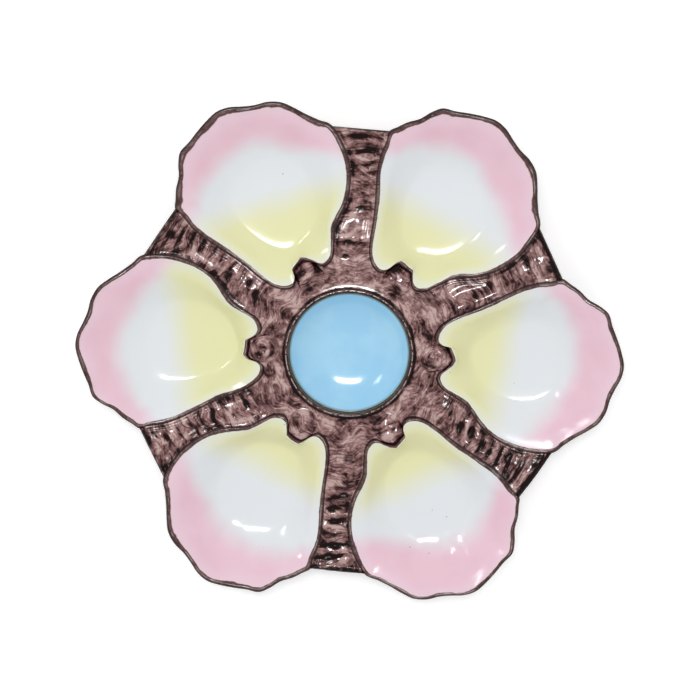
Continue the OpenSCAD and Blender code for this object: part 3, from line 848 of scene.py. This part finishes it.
def beadProfile():
    # upright inside and outside, and a half circle on top
    half = (plate["beadOutR"] - plate["beadInR"]) / 2
    mid = (plate["beadOutR"] + plate["beadInR"]) / 2
    a = np.linspace(0, np.pi, 2 * bead["round"] + 1)
    crown = np.stack([mid + half * np.cos(a), bead["crest"] - half + half * np.sin(a)], -1)
    return np.vstack([[[plate["beadInR"], bead["foot"]], [plate["beadOutR"], bead["foot"]]], crown])


section = beadProfile()
beadPiece = buildRevolve("sauce_bead_glazed", "sauce_bead", section, bead["turns"],
                         {"pool": np.zeros(len(section))})


footRing = {
    "inR": 57.0,
    "outR": 62.0,
    "height": 4.0,
    "round": 0.8,
    "cornerSteps": 6,
    "sideSteps": 5,
    "turns": 288,
}


def footProfile():
    # a plain rectangle whose two lower corners are rounded
    inR, outR, height, corner = (footRing[key] for key in ("inR", "outR", "height", "round"))
    a = np.linspace(0, np.pi / 2, footRing["cornerSteps"] + 1)
    inner = np.stack([inR + corner - corner * np.cos(a), corner - corner * np.sin(a)], -1)
    outer = np.stack([outR - corner + corner * np.sin(a), corner - corner * np.cos(a)], -1)
    rows = np.linspace(0, 1, footRing["sideSteps"] + 1)[1:, None]
    down = [inR, height] + rows * [0, corner - height]
    up = [outR, corner] + rows * [0, height - corner]
    return np.vstack([[[inR, height]], down[:-1], inner, outer, up])


section = footProfile()
footPiece = buildRevolve("foot_ring_clay", "foot_ring", section, footRing["turns"],
                         {"pool": np.zeros(len(section))})
print("sauce well, bead and foot built")


def colour(code):
    # sRGB hex to linear: below 0.04045 a straight line, above it a power of 2.4
    c = np.array([int(code[k:k + 2], 16) for k in (1, 3, 5)]) / 255
    c = np.where(c <= 0.04045, c / 12.92, ((c + 0.055) / 1.055) ** 2.4)
    return (*c.tolist(), 1.0)


def node(tree, kind, inputs, out=0, **settings):
    # adds one node with its settings, sets or links its inputs and gives back one of its outputs
    made = tree.nodes.new("ShaderNode" + kind)
    for key, value in settings.items():
        setattr(made, key, value)
    for key, value in inputs.items():
        if isinstance(value, bpy.types.NodeSocket):
            tree.links.new(value, made.inputs[key])
        else:
            made.inputs[key].default_value = value
    return made.outputs[out] if len(made.outputs) else None


smooth = {"interpolation_type": "SMOOTHSTEP"}
rgba = {"data_type": "RGBA"}


def newMaterial(name):
    # an empty material, its node tree, and the place on the object in mm
    made = bpy.data.materials.new(name)
    made.use_nodes = True
    tree = made.node_tree
    tree.nodes.clear()
    place = node(tree, "TexCoord", {}, "Object")
    return made, tree, node(tree, "VectorMath", {0: place, "Scale": 1 / mm}, operation="SCALE")


manganeseBrown = {
    "stops": [(0.02, "#160504"), (0.24, "#4B2624"), (0.46, "#754F4D"), (0.68, "#99726F"), (0.92, "#C2A5A0")],
    "blotchMm": 6.5,
    "patchMm": 2.6,
    "strokeMm": (1.7, 9.0),     # across and along a brush stroke
    "hairMm": (0.55, 6.5),
    "swirlMm": 13.0,            # how far apart the brush's turns are
    "swirlBy": 13.0,            # and how far they carry a stroke
    "fine": (0.5, 0.68),        # palest and darkest hairs: where in the noise they start and are full
    "thin": (0.42, 0.26),
    # tone: 0 is the darkest glaze and 1 the palest; the weights say how much each cause counts
    "tone": -1.64,
    "weights": {"stroke": 1.55, "hair": 0.30, "fine": 0.17, "thin": -0.10, "blotch": 1.4, "patch": 1.1,
                "pool": -1.05},
}


def brownGlaze(tree, place):
    # manganese glaze laid on with a brush: strokes and hairs of lighter and darker glaze, dark in hollows
    b = manganeseBrown
    strokes = node(tree, "Attribute", {}, "Vector", attribute_name="strokes")
    swirl = node(tree, "TexNoise", {"Vector": place, "Scale": 1 / b["swirlMm"], "Detail": 1.0}, "Color")
    swirl = node(tree, "VectorMath", {0: swirl, 1: (0.5, 0.5, 0.5)}, operation="SUBTRACT")
    run = node(tree, "VectorMath", {0: swirl, 1: (b["swirlBy"],) * 3, 2: strokes}, operation="MULTIPLY_ADD")
    causes = {}
    for key in ("stroke", "hair"):
        across, along = b[f"{key}Mm"]
        scaled = {0: run, 1: (1 / across, 1 / along, 1 / along)}
        scaled = node(tree, "VectorMath", scaled, operation="MULTIPLY")
        grain = {"Vector": scaled, "Scale": 1.0, "Detail": 2.0, "Roughness": 0.6, "Distortion": 0.5}
        causes[key] = node(tree, "TexNoise", grain)
    causes["blotch"] = node(tree, "TexNoise", {"Vector": place, "Scale": 1 / b["blotchMm"], "Detail": 1.0})
    patch = {"Vector": place, "Scale": 1 / b["patchMm"], "Detail": 2.0, "Distortion": 1.2}
    causes["patch"] = node(tree, "TexNoise", patch)
    causes["pool"] = node(tree, "Attribute", {}, "Fac", attribute_name="pool")
    for key in ("fine", "thin"):
        causes[key] = node(tree, "MapRange", {0: causes["hair"], 1: b[key][0], 2: b[key][1]}, **smooth)
    tone = b["tone"]
    for key, weight in b["weights"].items():
        tone = node(tree, "Math", {0: causes[key], 1: weight, 2: tone}, operation="MULTIPLY_ADD")
    shade = node(tree, "ValToRGB", {0: tone})
    stops = shade.node.color_ramp.elements
    for stop, (at, code) in zip(stops, (b["stops"][0], b["stops"][-1])):
        stop.position, stop.color = at, colour(code)
    for at, code in b["stops"][1:-1]:
        stops.new(at).color = colour(code)
    return shade, tone


glaze = {"roughness": 0.13, "ior": 1.5, "shine": 0.5}


def finishGlaze(tree, base, height, bumpMm, shine=glaze["shine"]):
    # lead glaze is clear, thick and wet-looking: a smooth skin with the faintest orange peel
    bump = node(tree, "Bump", {"Height": height, "Strength": 1.0, "Distance": bumpMm * mm})
    skin = {"Base Color": base, "Normal": bump, "Roughness": glaze["roughness"], "IOR": glaze["ior"]}
    skin["Specular IOR Level"] = shine
    node(tree, "OutputMaterial", {"Surface": node(tree, "BsdfPrincipled", skin)})


def paintedCrestGlint(tree, place, across, base, look):
    # a painted highlight along a crest: a pale line that fades to both sides, broken where a cloud is low
    off = node(tree, "Math", {0: across, 1: look["glintAt"]}, operation="SUBTRACT")
    off = node(tree, "Math", {0: off}, operation="ABSOLUTE")
    crest = {0: off, 1: look["glintHalf"][0], 2: look["glintHalf"][1], 4: look["glintBy"]}
    crest = node(tree, "MapRange", crest, **smooth)
    glintBreak = node(tree, "TexNoise", {"Vector": place, "Scale": 1 / look["glintBreakMm"], "Detail": 3.0})
    broken = node(tree, "MapRange", {0: glintBreak, 1: look["glintBreak"][0], 2: look["glintBreak"][1]}, **smooth)
    crest = node(tree, "Math", {0: crest, 1: broken}, operation="MULTIPLY")
    return node(tree, "Mix", {0: crest, 6: base, 7: colour(look["crest"])}, 2, **rgba)


shellGlaze = {
    "pink": "#F0CAD9",
    "pinkDeep": "#ECC3D3",
    "white": "#E6EBEF",
    "yellow": "#E9E9B7",
    "cloudMm": 15.0,
    "cloudBy": 4.0,             # mm by which clouds carry the colours' edges
    "deep": (0.3, 0.75),        # where in the clouds the pink is deeper
    "softPinkMm": 11.0,
    "softYellowMm": 18.0,
    "whiteBandMm": 3.2,         # the colours pale towards the lip
    "pinkKept": 0.8,            # and this much of them is left there
    "yellowKept": 0.5,
    "fleck": "#7A6460",
    "fleckMm": 9.0,
    "fleckR": 0.035,            # share of a cell
    "fleckFrom": 0.55,          # cells above this have a fleck
    "fleckBy": 0.55,
    "soften": "#3C2222",
    "softenBy": 0.68,
    # painted shade round the outside of the rim
    "outer": "#1C0E0E",
    "outerShadeMm": (1.3, 0.3),
    "outerShadeBy": 0.85,
    "above": (-2.6, -1.4),      # the underside is marked -3 and the rolled edge -1
    # painted highlight: a pale broken line along the lip's crest
    "crest": "#E3D6D0",
    "glintAt": 1.2,             # mm in from the edge
    "glintHalf": (0.26, 0.06),
    "glintBy": 0.35,
    "glintBreakMm": 8.0,
    "glintBreak": (0.54, 0.62),
    "lipMm": 1.93,              # width of the brown lip
    "lipSoft": 0.12,
    "lipShine": 0.32,
    "wobbleMm": 2.5,
    "wobbleBy": 0.5,
    "edgeLine": "#5A3A34",
    "lineMm": 0.35,             # the redder line where the brown stops
    "lineSoft": 0.15,
    "lineBy": 0.8,
    "peelMm": 3.0,
    "bumpMm": 0.03,
}


def makeShellGlaze():
    # lead-glazed earthenware: pink, white and yellow glazes that ran into one another in the kiln,
    # under a brown lip put on with a brush
    s = shellGlaze
    made, tree, place = newMaterial("lead_glazed_earthenware_shell")
    inset = node(tree, "Attribute", {}, "Fac", attribute_name="inset")
    cloud = node(tree, "TexNoise", {"Vector": place, "Scale": 1 / s["cloudMm"], "Detail": 2.0})
    drift = {0: cloud, 1: s["cloudBy"], 2: -s["cloudBy"] / 2}
    drift = node(tree, "Math", drift, operation="MULTIPLY_ADD")
    amounts = []
    for key, sign, soft, kept in (("pinkMm", 1, s["softPinkMm"], s["pinkKept"]),
                                  ("yellowMm", -1, s["softYellowMm"], s["yellowKept"])):
        across = node(tree, "Attribute", {}, "Fac", attribute_name=key)
        across = node(tree, "Math", {0: drift, 1: sign, 2: across}, operation="MULTIPLY_ADD")
        amount = node(tree, "MapRange", {0: across, 1: -soft / 2, 2: soft / 2}, **smooth)
        band = {0: inset, 1: s["lipMm"], 2: s["lipMm"] + s["whiteBandMm"], 3: kept}
        band = node(tree, "MapRange", band, **smooth)
        amounts.append(node(tree, "Math", {0: amount, 1: band}, operation="MULTIPLY"))
    deep = node(tree, "MapRange", {0: cloud, 1: s["deep"][0], 2: s["deep"][1]}, **smooth)
    pink = node(tree, "Mix", {0: deep, 6: colour(s["pink"]), 7: colour(s["pinkDeep"])}, 2, **rgba)
    tint = node(tree, "Mix", {0: amounts[1], 6: colour(s["white"]), 7: colour(s["yellow"])}, 2, **rgba)
    tint = node(tree, "Mix", {0: amounts[0], 6: tint, 7: pink}, 2, **rgba)
    # a few dark kiln flecks, one in some of the cells
    cells = node(tree, "TexVoronoi", {"Vector": place, "Scale": 1 / s["fleckMm"]})
    pick = node(tree, "SeparateColor", {0: cells.node.outputs["Color"]})
    dot = node(tree, "Math", {0: cells, 1: s["fleckR"]}, operation="LESS_THAN")
    some = node(tree, "Math", {0: pick, 1: s["fleckFrom"]}, operation="GREATER_THAN")
    dot = node(tree, "Math", {0: dot, 1: some}, operation="MULTIPLY")
    dot = node(tree, "Math", {0: dot, 1: s["fleckBy"]}, operation="MULTIPLY")
    tint = node(tree, "Mix", {0: dot, 6: tint, 7: colour(s["fleck"])}, 2, **rgba)
    # painted shade: the brown is darkest round the outside of the rim, where it curves under
    brown = {0: s["softenBy"], 6: brownGlaze(tree, place)[0], 7: colour(s["soften"])}
    brown = node(tree, "Mix", brown, 2, **rgba)
    outer = {0: inset, 1: s["outerShadeMm"][0], 2: s["outerShadeMm"][1], 4: s["outerShadeBy"]}
    outer = node(tree, "MapRange", outer, **smooth)
    above = node(tree, "MapRange", {0: inset, 1: s["above"][0], 2: s["above"][1]}, **smooth)
    outer = node(tree, "Math", {0: outer, 1: above}, operation="MULTIPLY")
    brown = node(tree, "Mix", {0: outer, 6: brown, 7: colour(s["outer"])}, 2, **rgba)
    # a painted highlight along the lip's crest
    brown = paintedCrestGlint(tree, place, inset, brown, s)
    # the brown stops at a wavering line, a little redder than the rest
    wobble = node(tree, "TexNoise", {"Vector": place, "Scale": 1 / s["wobbleMm"], "Detail": 2.0})
    edge = node(tree, "Math", {0: wobble, 1: s["wobbleBy"], 2: inset}, operation="MULTIPLY_ADD")
    lip = s["lipMm"] + s["wobbleBy"] / 2
    onWell = node(tree, "MapRange", {0: edge, 1: lip - s["lipSoft"], 2: lip + s["lipSoft"]}, **smooth)
    onLine = {0: edge, 1: lip - s["lineMm"] - s["lineSoft"], 2: lip - s["lineMm"], 4: s["lineBy"]}
    onLine = node(tree, "MapRange", onLine, **smooth)
    base = node(tree, "Mix", {0: onLine, 6: brown, 7: colour(s["edgeLine"])}, 2, **rgba)
    base = node(tree, "Mix", {0: onWell, 6: base, 7: tint}, 2, **rgba)
    shine = node(tree, "MapRange", {0: onWell, 3: s["lipShine"], 4: glaze["shine"]})
    peel = node(tree, "TexNoise", {"Vector": place, "Scale": 1 / s["peelMm"], "Detail": 1.0})
    finishGlaze(tree, base, peel, s["bumpMm"], shine)
    return made


barkGlaze = {
    "peelMm": 2.5,
    "toneBump": 0.05,       # pale strokes stand a little higher
    "bumpMm": 0.025,
    "dull": (0.0, 0.4),     # tones between which its shine grows
    "shine": (0.1, 0.5),
}


def makeBarkGlaze():
    # the same earthenware under manganese brown, brushed on over pressed bark; where it pools it dries
    # duller
    g = barkGlaze
    made, tree, place = newMaterial("lead_glazed_earthenware_bark")
    brown, tone = brownGlaze(tree, place)
    peel = node(tree, "TexNoise", {"Vector": place, "Scale": 1 / g["peelMm"], "Detail": 1.0})
    peel = node(tree, "Math", {0: tone, 1: g["toneBump"], 2: peel}, operation="MULTIPLY_ADD")
    shine = {0: tone, 1: g["dull"][0], 2: g["dull"][1], 3: g["shine"][0], 4: g["shine"][1]}
    finishGlaze(tree, brown, peel, g["bumpMm"], node(tree, "MapRange", shine))
    return made


blueGlaze = {
    "thin": "#A9DCF7",
    "thick": "#9ED5F5",
    "unevenMm": 14.0,
    "thickFrom": (0.35, 0.65),
    "edge": "#7B8C80",
    "edgeMm": (24.3, 25.4),
    "underR": 40.0,         # a larger radius marks the underside
    "peelMm": 5.0,
    "bumpMm": 0.02,
}


def makeBlueGlaze():
    # pale turquoise-blue lead glaze, a little thinner and lighter in clouds, brown underneath
    b = blueGlaze
    made, tree, place = newMaterial("lead_glazed_earthenware_sauce_well")
    radius = node(tree, "Attribute", {}, "Fac", attribute_name="sauceR")
    uneven = node(tree, "TexNoise", {"Vector": place, "Scale": 1 / b["unevenMm"], "Detail": 3.0})
    thick = node(tree, "MapRange", {0: uneven, 1: b["thickFrom"][0], 2: b["thickFrom"][1]}, **smooth)
    base = node(tree, "Mix", {0: thick, 6: colour(b["thin"]), 7: colour(b["thick"])}, 2, **rgba)
    edge = node(tree, "MapRange", {0: radius, 1: b["edgeMm"][0], 2: b["edgeMm"][1]}, **smooth)
    base = node(tree, "Mix", {0: edge, 6: base, 7: colour(b["edge"])}, 2, **rgba)
    below = node(tree, "Math", {0: radius, 1: b["underR"]}, operation="GREATER_THAN")
    base = node(tree, "Mix", {0: below, 6: base, 7: brownGlaze(tree, place)[0]}, 2, **rgba)
    peel = node(tree, "TexNoise", {"Vector": place, "Scale": 1 / b["peelMm"], "Detail": 1.0})
    finishGlaze(tree, base, peel, b["bumpMm"])
    return made


beadGlaze = {
    "dark": "#1B0F0E",
    "darkBy": 0.85,
    # painted highlight: a pale broken line along the bead's crest
    "crest": "#E0CFC8",
    "glintAt": 26.75,       # mm from the axis
    "glintHalf": (0.24, 0.08),
    "glintBy": 0.72,
    "glintBreakMm": 1.1,
    "glintBreak": (0.42, 0.56),
    "inner": "#6E6250",
    "innerR": (25.85, 25.6),
    "innerBy": 0.8,
    "peelMm": 1.6,
    "bumpMm": 0.12,
    "shine": 0.22,
}


def makeBeadGlaze():
    # the darkest brown glaze, with a painted highlight along the top of the bead, a lighter broken line, and
    # paler inside
    b = beadGlaze
    made, tree, place = newMaterial("lead_glazed_earthenware_bead")
    base = {0: b["darkBy"], 6: brownGlaze(tree, place)[0], 7: colour(b["dark"])}
    base = node(tree, "Mix", base, 2, **rgba)
    flat = node(tree, "VectorMath", {0: place, 1: (1.0, 1.0, 0.0)}, operation="MULTIPLY")
    radius = node(tree, "VectorMath", {0: flat}, "Value", operation="LENGTH")
    # a painted highlight along the bead's crest
    base = paintedCrestGlint(tree, place, radius, base, b)
    inner = {0: radius, 1: b["innerR"][0], 2: b["innerR"][1], 4: b["innerBy"]}
    inner = node(tree, "MapRange", inner, **smooth)
    base = node(tree, "Mix", {0: inner, 6: base, 7: colour(b["inner"])}, 2, **rgba)
    peel = node(tree, "TexNoise", {"Vector": place, "Scale": 1 / b["peelMm"], "Detail": 2.0})
    finishGlaze(tree, base, peel, b["bumpMm"], b["shine"])
    return made


footClay = {
    "dark": "#CBB293",
    "pale": "#E0CBAE",
    "grainMm": 0.5,
    "sand": (0.3, 0.7),
    "stain": "#B99C7C",
    "stainMm": 6.0,
    "stainFrom": (0.5, 0.75),
    "wiped": (1.35, 1.6),       # mm up from the table, with the ragged edge's own height on top
    "raggedMm": 4.0,
    "raggedBy": 1.2,
    "roughness": (0.8, 0.1),    # of the clay and of the glaze above it
    "bumpMm": 0.08,
}


def makeFootClay():
    # buff earthenware, wiped clean of glaze where it stands, so matt and slightly sandy; brown above
    f = footClay
    made, tree, place = newMaterial("bare_buff_earthenware_foot")
    height = node(tree, "SeparateXYZ", {0: place}, "Z")
    ragged = node(tree, "TexNoise", {"Vector": place, "Scale": 1 / f["raggedMm"], "Detail": 3.0})
    ragged = node(tree, "Math", {0: ragged, 1: f["raggedBy"], 2: height}, operation="MULTIPLY_ADD")
    glazed = node(tree, "MapRange", {0: ragged, 1: f["wiped"][0], 2: f["wiped"][1]}, **smooth)
    grain = node(tree, "TexNoise", {"Vector": place, "Scale": 1 / f["grainMm"], "Detail": 3.0})
    sand = node(tree, "MapRange", {0: grain, 1: f["sand"][0], 2: f["sand"][1]}, **smooth)
    clay = node(tree, "Mix", {0: sand, 6: colour(f["dark"]), 7: colour(f["pale"])}, 2, **rgba)
    stain = node(tree, "TexNoise", {"Vector": place, "Scale": 1 / f["stainMm"], "Detail": 3.0})
    stain = node(tree, "MapRange", {0: stain, 1: f["stainFrom"][0], 2: f["stainFrom"][1]}, **smooth)
    clay = node(tree, "Mix", {0: stain, 6: clay, 7: colour(f["stain"])}, 2, **rgba)
    base = node(tree, "Mix", {0: glazed, 6: clay, 7: brownGlaze(tree, place)[0]}, 2, **rgba)
    rough = node(tree, "MapRange", {0: glazed, 3: f["roughness"][0], 4: f["roughness"][1]})
    bump = node(tree, "Bump", {"Height": grain, "Strength": 1.0, "Distance": f["bumpMm"] * mm})
    skin = {"Base Color": base, "Normal": bump, "Roughness": rough, "IOR": glaze["ior"]}
    node(tree, "OutputMaterial", {"Surface": node(tree, "BsdfPrincipled", skin)})
    return made


shellMaterial = makeShellGlaze()
barkMaterial = makeBarkGlaze()
for piece in shells:
    piece.data.materials.append(shellMaterial)
for piece in barks + barnacles + [hubPiece]:
    piece.data.materials.append(barkMaterial)
saucePiece.data.materials.append(makeBlueGlaze())
beadPiece.data.materials.append(makeBeadGlaze())
footPiece.data.materials.append(makeFootClay())
print("glazes made")


studio = {
    "floorR": 3.0,              # metres
    "floorSides": 96,
    "paper": "#F2F2F2",
    "paperLift": (0.40, 1.0),   # what the camera sees added to the lit paper, under the plate and far from it
    "liftFrom": (0.2, 0.8),     # metres out
    "fill": 0.68,               # strength of the even white surroundings
    # mm and degrees; so many pixels to one radian, in a picture of this width
    "camera": {"distance": 750.0, "tilt": -8.707, "lean": 1.682, "roll": -0.224, "pixels": 1770.2,
               "width": 700, "target": (0.308, 1.129, 15.0)},
    "lampDistance": 1.3,
    "lamps": [
        # direction from the plate: degrees from the vertical towards +Y, degrees towards +X; size;
        # strength; and how much stronger it is in the glaze
        {"name": "softbox", "up": 16.7, "side": 0.0, "size": (18.0, 6.0), "power": 3.7, "shine": 6.0},
        {"name": "window", "up": 24.1, "side": -38.0, "size": (4.5, 9.0), "power": 1.1, "shine": 2.4},
    ],
}


def seenOrLit(tree, seen, lit):
    # what the camera sees, straight or in a gloss or through glass, and what lights the object otherwise
    path = node(tree, "LightPath", {}, "Is Camera Ray")
    outputs = path.node.outputs
    either = {0: outputs["Is Glossy Ray"], 1: outputs["Is Transmission Ray"]}
    either = node(tree, "Math", either, operation="MAXIMUM")
    either = node(tree, "Math", {0: path, 1: either}, operation="MAXIMUM")
    return node(tree, "MixShader", {0: either, 1: lit, 2: seen})


def makeFloor():
    # a round sheet of pale paper: a circle of points with one face, that keeps the plate's shadow
    sides = studio["floorSides"]
    about = 2 * np.pi * np.arange(sides) / sides
    points = studio["floorR"] * np.stack([np.cos(about), np.sin(about), 0 * about], -1)
    mesh = bpy.data.meshes.new("floor")
    mesh.from_pydata(points.tolist(), [], [list(range(sides))])
    floor = bpy.data.objects.new("floor", mesh)
    bpy.context.scene.collection.objects.link(floor)
    made, tree, place = newMaterial("pale_backdrop_paper")
    away = node(tree, "VectorMath", {0: place}, "Value", operation="LENGTH")
    near, far = (v / mm for v in studio["liftFrom"])
    lift = {0: away, 1: near, 2: far, 3: studio["paperLift"][0], 4: studio["paperLift"][1]}
    lift = node(tree, "MapRange", lift, **smooth)
    matt = node(tree, "BsdfDiffuse", {"Color": colour(studio["paper"])})
    glow = node(tree, "Emission", {"Strength": lift})
    bright = node(tree, "AddShader", {0: matt, 1: glow})
    node(tree, "OutputMaterial", {"Surface": seenOrLit(tree, bright, matt)})
    mesh.materials.append(made)


def makeWorld():
    # white all round: full strength where it is seen, and an even fill where it lights
    world = bpy.data.worlds.new("studio")
    bpy.context.scene.world = world
    world.use_nodes = True
    tree = world.node_tree
    tree.nodes.clear()
    white = colour("#FFFFFF")
    seen = node(tree, "Background", {"Color": white, "Strength": 1.0})
    lit = node(tree, "Background", {"Color": white, "Strength": studio["fill"]})
    node(tree, "OutputWorld", {"Surface": seenOrLit(tree, seen, lit)})


def makeLamp(lamp, part):
    # a flat softbox that faces the plate, sized by the angle it fills; one part lights, the other shines
    up, side = np.radians(lamp["up"]), np.radians(lamp["side"])
    away = np.array([np.sin(side) * np.cos(up), np.sin(up), np.cos(up) * np.cos(side)])
    away = away / np.linalg.norm(away)
    data = bpy.data.lights.new(f"{lamp['name']}_{part}", "AREA")
    data.shape = "RECTANGLE"
    data.size, data.size_y = (2 * studio["lampDistance"] * np.tan(np.radians(v) / 2) for v in lamp["size"])
    data.energy = lamp["power"] * (lamp["shine"] if part == "shine" else 1)
    right = np.cross([0, 1, 0], away)
    right = right / np.linalg.norm(right)
    upward = np.cross(away, right)
    turn = Matrix([[*(float(v[k]) for v in (right, upward, away)), float(away[k]) * studio["lampDistance"]]
                   for k in range(3)] + [[0, 0, 0, 1]])
    made = bpy.data.objects.new(data.name, data)
    bpy.context.scene.collection.objects.link(made)
    made.matrix_world = turn
    made.visible_diffuse = part == "light"
    made.visible_glossy = part == "shine"


def makeCamera():
    # stands off the target along its own tilt, lean and roll; the lens gives so many pixels to one radian
    c = studio["camera"]
    turn = (Matrix.Rotation(np.radians(c["lean"]), 4, "Y") @ Matrix.Rotation(np.radians(c["tilt"]), 4, "X")
            @ Matrix.Rotation(np.radians(c["roll"]), 4, "Z"))
    target = Matrix.Translation([v * mm for v in c["target"]])
    data = bpy.data.cameras.new("camera")
    data.sensor_width = 36.0
    data.lens = c["pixels"] * data.sensor_width / c["width"]
    data.clip_start, data.clip_end = 0.01, 20.0
    made = bpy.data.objects.new("camera", data)
    bpy.context.scene.collection.objects.link(made)
    made.matrix_world = target @ turn @ Matrix.Translation((0, 0, c["distance"] * mm))
    bpy.context.scene.camera = made


makeFloor()
makeWorld()
for lamp in studio["lamps"]:
    for part in ("light", "shine"):
        makeLamp(lamp, part)
makeCamera()
bpy.context.scene.view_settings.view_transform = "Standard"
print("stage set")
